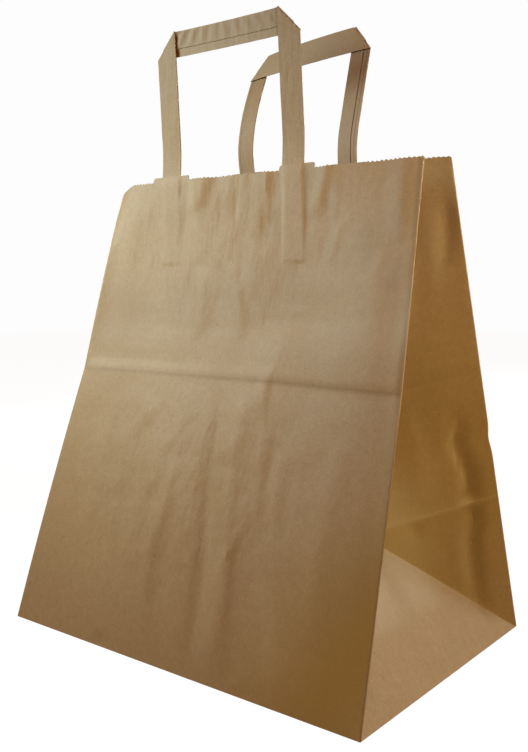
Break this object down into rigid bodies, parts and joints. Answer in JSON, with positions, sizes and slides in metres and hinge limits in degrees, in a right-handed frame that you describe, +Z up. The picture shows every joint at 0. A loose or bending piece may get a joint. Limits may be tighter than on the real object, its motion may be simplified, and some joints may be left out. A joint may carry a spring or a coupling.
{
  "type": "paper carrier bag",
  "caption": "Unprinted brown kraft paper carrier bag with a block bottom, folded side gussets, a toothed mouth and flat paper-strip handles, standing open.",
  "frame": {"origin": "middle of the base, on the surface that the bag stands on", "axes": "+Z up, -Y out of the front panel, +X to the right across the front panel"},
  "size_m": [0.32, 0.214, 0.4567],
  "materials": {
    "kraft_sheet": "matte unbleached kraft paper, folded and lightly creased",
    "handle_paper": "matte kraft paper strip, folded in several plies and glued"
  },
  "bodies": {
    "root": {"bag_body": "kraft_sheet", "front_handle": "handle_paper", "rear_handle": "handle_paper"}
  },
  "joints": []
}
